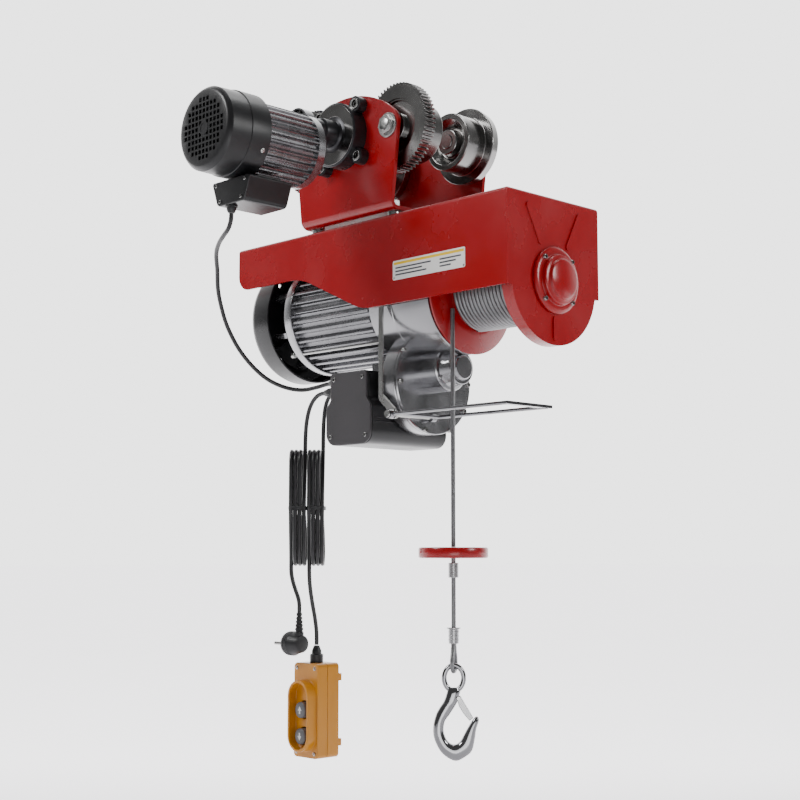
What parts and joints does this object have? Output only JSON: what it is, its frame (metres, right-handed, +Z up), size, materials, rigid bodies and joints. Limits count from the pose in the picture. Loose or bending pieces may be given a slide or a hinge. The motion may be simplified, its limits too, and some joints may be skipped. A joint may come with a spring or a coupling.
{
  "type": "electric wire rope hoist",
  "caption": "Electric wire rope hoist on a motor trolley that rolls along an I-beam, with a limit fork, load hook, mains lead and push-button pendant.",
  "frame": {"origin": "middle of the beam seat: halfway between the two side plates and the two pairs of wheels, at the height of the surface the wheels roll on", "axes": "+Z up, +X along the beam and the rope drum towards the hoist's bearing end, -Y towards the travel motor"},
  "size_m": [0.5553, 0.431, 0.9206],
  "materials": {
    "red_paint": "gloss powder coat",
    "black_cover": "gloss",
    "grey_cover": "satin",
    "silver_casting": "polished casting",
    "bright_steel": "bright plated",
    "dark_steel": "oiled",
    "black_chrome": "dark plated",
    "rope_steel": "stranded wire",
    "yellow_plastic": "semi gloss moulding",
    "button_grey": "satin",
    "rubber": "satin"
  },
  "bodies": {
    "root": {"axle_front_left": "bright_steel", "axle_front_right": "bright_steel", "axle_rear_left": "bright_steel", "axle_rear_right": "bright_steel", "cable_glands": "rubber", "control_box_bracket": "silver_casting", "control_box_front": "grey_cover", "control_box_shell": "black_cover", "end_bearing_housing": "red_paint", "gearbox_case": "silver_casting", "gearbox_cover": "silver_casting", "hoist_end_bell": "silver_casting", "hoist_fan_cover": "black_cover", "hoist_frame": "red_paint", "hoist_motor_body": "silver_casting", "limit_strap": "bright_steel", "mains_lead_hank": "rubber", "mains_lead_lower": "rubber", "mains_lead_upper": "rubber", "pendant_cable_hank": "rubber", "pendant_cable_lower": "rubber", "pendant_cable_upper": "rubber", "pendant_front": "yellow_plastic", "pendant_gland": "rubber", "pendant_rear": "yellow_plastic", "plug_body": "rubber", "plug_strain_relief": "rubber", "travel_end_bell": "silver_casting", "travel_fan_cover": "black_cover", "travel_gear_housing": "black_chrome", "travel_lead": "rubber", "travel_motor_body": "silver_casting", "travel_terminal_box": "black_cover", "trolley_plate_front": "red_paint", "trolley_plate_rear": "red_paint", "wire_rope": "rope_steel"},
    "wheel_left": {"drive_wheel_left": "bright_steel"},
    "wheel_right": {"drive_wheel_right": "bright_steel"},
    "idler_left": {"idler_wheel_left": "bright_steel"},
    "idler_right": {"idler_wheel_right": "bright_steel"},
    "travel_shaft": {"travel_pinion": "dark_steel", "travel_output_shaft": "bright_steel"},
    "travel_armature": {"travel_rotor": "dark_steel", "travel_fan": "black_cover"},
    "drum": {"rope_drum": "red_paint", "rope_winding": "rope_steel", "drum_shaft": "bright_steel", "drum_gear": "dark_steel"},
    "layshaft": {"intermediate_shaft": "bright_steel", "first_stage_gear": "dark_steel"},
    "hoist_armature": {"hoist_rotor": "dark_steel", "hoist_fan": "black_cover", "brake_disc": "dark_steel"},
    "hook_line": {"rope_end": "rope_steel", "stop_disc": "red_paint"},
    "hook": {"load_hook": "bright_steel"},
    "latch": {"hook_latch": "bright_steel"},
    "fork": {"limit_fork": "bright_steel"},
    "up_button": {"button_up": "button_grey"},
    "down_button": {"button_down": "button_grey"}
  },
  "joints": [
    {"name": "drive_wheel_spin", "type": "hinge", "parent": "root", "child": "wheel_left", "pos_m": [-0.087, -0.05, 0.041], "axis": [0, 1, 0], "continuous": true},
    {"name": "drive_wheel_right_spin", "type": "hinge", "parent": "root", "child": "wheel_right", "pos_m": [0.087, -0.05, 0.041], "axis": [0, 1, 0], "continuous": true},
    {"name": "travel_pinion_spin", "type": "hinge", "parent": "root", "child": "travel_shaft", "pos_m": [0, -0.069, 0.041], "axis": [0, 1, 0], "continuous": true},
    {"name": "travel_rotor_spin", "type": "hinge", "parent": "root", "child": "travel_armature", "pos_m": [0, -0.225, 0.005], "axis": [0, 1, 0], "continuous": true},
    {"name": "idler_left_spin", "type": "hinge", "parent": "root", "child": "idler_left", "pos_m": [-0.087, 0.05, 0.041], "axis": [0, 1, 0], "continuous": true},
    {"name": "idler_right_spin", "type": "hinge", "parent": "root", "child": "idler_right", "pos_m": [0.087, 0.05, 0.041], "axis": [0, 1, 0], "continuous": true},
    {"name": "drum_spin", "type": "hinge", "parent": "root", "child": "drum", "pos_m": [0.2, 0, -0.19], "axis": [-1, 0, 0], "range_deg": [0, 200]},
    {"name": "layshaft_spin", "type": "hinge", "parent": "root", "child": "layshaft", "pos_m": [0.096, 0, -0.286], "axis": [-1, 0, 0], "range_deg": [-610, 5]},
    {"name": "hoist_rotor_spin", "type": "hinge", "parent": "root", "child": "hoist_armature", "pos_m": [-0.045, 0, -0.19], "axis": [-1, 0, 0], "range_deg": [-5, 780]},
    {"name": "hook_lift", "type": "slide", "parent": "root", "child": "hook_line", "axis": [0, 0, 1], "range_m": [0, 0.168], "deforming": ["wire_rope"]},
    {"name": "hook_swing", "type": "hinge", "parent": "hook_line", "child": "hook", "pos_m": [0.166, -0.048, -0.685], "axis": [-0.7071, 0.7071, 0], "range_deg": [-30, 30]},
    {"name": "hook_latch_hinge", "type": "hinge", "parent": "hook", "child": "latch", "pos_m": [0.16996, -0.04404, -0.7185], "axis": [-0.7071, 0.7071, 0], "range_deg": [0, 25], "stiffness_Nm_per_rad": 0.05},
    {"name": "limit_fork_hinge", "type": "hinge", "parent": "root", "child": "fork", "pos_m": [0.093, -0.05, -0.352], "axis": [0, -1, 0], "range_deg": [0, 12]},
    {"name": "button_up_press", "type": "slide", "parent": "root", "child": "up_button", "axis": [0, 1, 0], "range_m": [0, 0.003], "stiffness_N_per_m": 400},
    {"name": "button_down_press", "type": "slide", "parent": "root", "child": "down_button", "axis": [0, 1, 0], "range_m": [0, 0.003], "stiffness_N_per_m": 400}
  ],
  "couplings": [
    {"joint": "drive_wheel_right_spin", "follows": "drive_wheel_spin", "ratio": 1},
    {"joint": "travel_pinion_spin", "follows": "drive_wheel_spin", "ratio": -2.2222},
    {"joint": "travel_rotor_spin", "follows": "drive_wheel_spin", "ratio": 2.2222},
    {"joint": "layshaft_spin", "follows": "drum_spin", "ratio": -3},
    {"joint": "hoist_rotor_spin", "follows": "drum_spin", "ratio": 3.8571},
    {"joint": "hook_lift", "follows": "drum_spin", "m_per_rad": 0.048}
  ]
}
